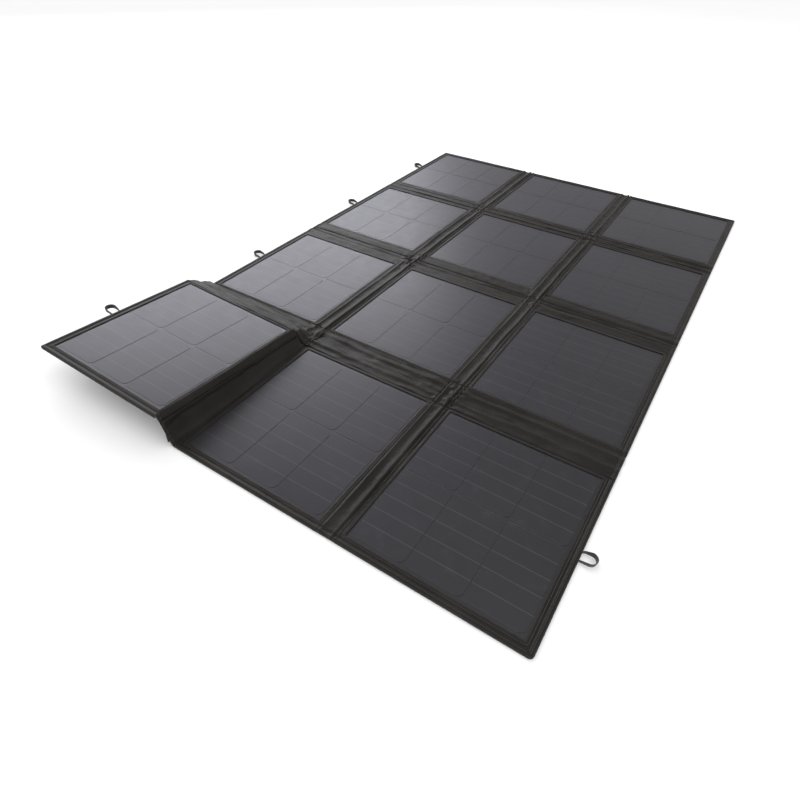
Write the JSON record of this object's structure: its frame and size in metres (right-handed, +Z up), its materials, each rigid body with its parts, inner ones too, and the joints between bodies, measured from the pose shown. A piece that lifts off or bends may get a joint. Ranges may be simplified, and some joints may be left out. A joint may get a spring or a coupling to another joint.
{
  "type": "folding solar blanket",
  "caption": "Folding solar blanket: rigid solar panels in a canvas sheet with fold lines between them, edge loops for tying down and a lead pouch under a corner panel.",
  "frame": {"origin": "centre of the bounding box on the ground", "axes": "+X across the blanket from the left edge to the right edge, +Y along its length from the front row to the back row, +Z up"},
  "size_m": [1.069, 1.594, 0.0702],
  "materials": {
    "canvas": "satin woven black canvas",
    "canvas_back": "matte woven black canvas",
    "webbing": "woven nylon webbing",
    "laminate": "textured clear laminate over grey cells",
    "housing": "moulded black",
    "steel": "zinc plated"
  },
  "bodies": {
    "panel_r1c1": {"front_r1c1": "canvas", "solar_r1c1": "laminate", "back_r1c1": "canvas_back", "loop_left_1": "webbing", "lead_pouch": "canvas_back", "side_gusset": "canvas", "rear_gusset": "canvas", "junction_box": "housing", "box_lid": "housing", "lid_screws": "steel", "lead_gland": "housing"},
    "panel_r1c2": {"front_r1c2": "canvas", "solar_r1c2": "laminate", "back_r1c2": "canvas_back"},
    "panel_r1c3": {"front_r1c3": "canvas", "solar_r1c3": "laminate", "back_r1c3": "canvas_back", "loop_right_1": "webbing"},
    "panel_r2c1": {"front_r2c1": "canvas", "solar_r2c1": "laminate", "back_r2c1": "canvas_back", "loop_left_2": "webbing"},
    "panel_r2c2": {"front_r2c2": "canvas", "solar_r2c2": "laminate", "back_r2c2": "canvas_back"},
    "panel_r2c3": {"front_r2c3": "canvas", "solar_r2c3": "laminate", "back_r2c3": "canvas_back"},
    "panel_r3c1": {"front_r3c1": "canvas", "solar_r3c1": "laminate", "back_r3c1": "canvas_back", "loop_left_3": "webbing"},
    "panel_r3c2": {"front_r3c2": "canvas", "solar_r3c2": "laminate", "back_r3c2": "canvas_back"},
    "panel_r3c3": {"front_r3c3": "canvas", "solar_r3c3": "laminate", "back_r3c3": "canvas_back"},
    "panel_r4c1": {"front_r4c1": "canvas", "solar_r4c1": "laminate", "back_r4c1": "canvas_back", "loop_left_4": "webbing"},
    "panel_r4c2": {"front_r4c2": "canvas", "solar_r4c2": "laminate", "back_r4c2": "canvas_back"},
    "panel_r4c3": {"front_r4c3": "canvas", "solar_r4c3": "laminate", "back_r4c3": "canvas_back"},
    "fold_s1c1": {"strip_s1c1": "canvas"},
    "fold_s1c2": {"strip_s1c2": "canvas"},
    "fold_s1c3": {"strip_s1c3": "canvas"},
    "fold_s2c1": {"strip_s2c1": "canvas"},
    "fold_s2c2": {"strip_s2c2": "canvas"},
    "fold_s2c3": {"strip_s2c3": "canvas"},
    "fold_s3c1": {"strip_s3c1": "canvas"},
    "fold_s3c2": {"strip_s3c2": "canvas"},
    "fold_s3c3": {"strip_s3c3": "canvas"}
  },
  "joints": [
    {"name": "far_fold", "type": "hinge", "parent": "panel_r4c2", "child": "panel_r3c2", "pos_m": [0, 0.417, 0.0145], "axis": [-1, 0, 0], "range_deg": [0, 180]},
    {"name": "far_fold_strip", "type": "hinge", "parent": "panel_r4c2", "child": "fold_s3c2", "pos_m": [0, 0.4295, 0.002], "axis": [-1, 0, 0], "range_deg": [0, 90]},
    {"name": "middle_fold", "type": "hinge", "parent": "panel_r3c2", "child": "panel_r2c2", "pos_m": [0, 0.01, -0.004], "axis": [1, 0, 0], "range_deg": [0, 180]},
    {"name": "middle_fold_strip", "type": "hinge", "parent": "panel_r3c2", "child": "fold_s2c2", "pos_m": [0, 0.016, 0.002], "axis": [1, 0, 0], "range_deg": [0, 90]},
    {"name": "near_fold", "type": "hinge", "parent": "panel_r2c2", "child": "fold_s1c2", "pos_m": [0, -0.371, 0.002], "axis": [-1, 0, 0], "range_deg": [0, 90]},
    {"name": "near_fold_panel", "type": "hinge", "parent": "fold_s1c2", "child": "panel_r1c2", "pos_m": [0, -0.443, 0.002], "axis": [-1, 0, 0], "range_deg": [0, 90]},
    {"name": "left_fold", "type": "hinge", "parent": "panel_r4c2", "child": "panel_r4c1", "pos_m": [-0.1715, 0.6145, 0.007], "axis": [0, 1, 0], "range_deg": [0, 180], "deforming": ["loop_left_4"]},
    {"name": "right_fold", "type": "hinge", "parent": "panel_r4c2", "child": "panel_r4c3", "pos_m": [0.1735, 0.6145, 0.0045], "axis": [0, -1, 0], "range_deg": [0, 180]},
    {"name": "left_fold_row_3", "type": "hinge", "parent": "panel_r3c2", "child": "panel_r3c1", "pos_m": [-0.1715, 0.2195, 0.007], "axis": [0, 1, 0], "range_deg": [0, 180], "deforming": ["loop_left_3"]},
    {"name": "right_fold_row_3", "type": "hinge", "parent": "panel_r3c2", "child": "panel_r3c3", "pos_m": [0.1735, 0.2195, 0.0045], "axis": [0, -1, 0], "range_deg": [0, 180]},
    {"name": "left_fold_row_2", "type": "hinge", "parent": "panel_r2c2", "child": "panel_r2c1", "pos_m": [-0.1715, -0.1995, 0.007], "axis": [0, 1, 0], "range_deg": [0, 180], "deforming": ["loop_left_2"]},
    {"name": "right_fold_row_2", "type": "hinge", "parent": "panel_r2c2", "child": "panel_r2c3", "pos_m": [0.1735, -0.1995, 0.0045], "axis": [0, -1, 0], "range_deg": [0, 180]},
    {"name": "left_fold_row_1", "type": "hinge", "parent": "panel_r1c2", "child": "panel_r1c1", "pos_m": [-0.17192, -0.6145, 0.02593], "axis": [-0.0008, 0.9994, -0.0349], "range_deg": [0, 177.31], "deforming": ["loop_left_1", "lead_pouch", "side_gusset", "rear_gusset"]},
    {"name": "right_fold_row_1", "type": "hinge", "parent": "panel_r1c2", "child": "panel_r1c3", "pos_m": [0.1735, -0.6145, 0.0045], "axis": [0, -1, 0], "range_deg": [0, 180], "deforming": ["loop_right_1"]},
    {"name": "left_fold_strip_3", "type": "hinge", "parent": "fold_s3c2", "child": "fold_s3c1", "pos_m": [-0.1715, 0.417, 0.003], "axis": [0, 1, 0], "range_deg": [0, 180]},
    {"name": "right_fold_strip_3", "type": "hinge", "parent": "fold_s3c2", "child": "fold_s3c3", "pos_m": [0.1735, 0.417, 0.0025], "axis": [0, -1, 0], "range_deg": [0, 180]},
    {"name": "left_fold_strip_2", "type": "hinge", "parent": "fold_s2c2", "child": "fold_s2c1", "pos_m": [-0.1715, 0.01, 0.003], "axis": [0, 1, 0], "range_deg": [0, 180]},
    {"name": "right_fold_strip_2", "type": "hinge", "parent": "fold_s2c2", "child": "fold_s2c3", "pos_m": [0.1735, 0.01, 0.0025], "axis": [0, -1, 0], "range_deg": [0, 180]},
    {"name": "left_fold_strip_1", "type": "hinge", "parent": "fold_s1c2", "child": "fold_s1c1", "pos_m": [-0.1715, -0.407, 0.003], "axis": [0, 1, 0], "range_deg": [0, 180]},
    {"name": "right_fold_strip_1", "type": "hinge", "parent": "fold_s1c2", "child": "fold_s1c3", "pos_m": [0.1735, -0.407, 0.0025], "axis": [0, -1, 0], "range_deg": [0, 180]}
  ],
  "couplings": [
    {"joint": "far_fold_strip", "follows": "far_fold", "ratio": 0.5},
    {"joint": "middle_fold", "follows": "far_fold", "ratio": 1},
    {"joint": "middle_fold_strip", "follows": "far_fold", "ratio": 0.5},
    {"joint": "near_fold_panel", "follows": "near_fold", "ratio": 1},
    {"joint": "left_fold_row_3", "follows": "left_fold", "ratio": 1},
    {"joint": "right_fold_row_3", "follows": "right_fold", "ratio": 1},
    {"joint": "left_fold_row_2", "follows": "left_fold", "ratio": 1},
    {"joint": "right_fold_row_2", "follows": "right_fold", "ratio": 1},
    {"joint": "left_fold_row_1", "follows": "left_fold", "ratio": 0.98501},
    {"joint": "right_fold_row_1", "follows": "right_fold", "ratio": 1},
    {"joint": "left_fold_strip_3", "follows": "left_fold", "ratio": 1},
    {"joint": "right_fold_strip_3", "follows": "right_fold", "ratio": 1},
    {"joint": "left_fold_strip_2", "follows": "left_fold", "ratio": 1},
    {"joint": "right_fold_strip_2", "follows": "right_fold", "ratio": 1},
    {"joint": "left_fold_strip_1", "follows": "left_fold", "ratio": 1},
    {"joint": "right_fold_strip_1", "follows": "right_fold", "ratio": 1}
  ]
}
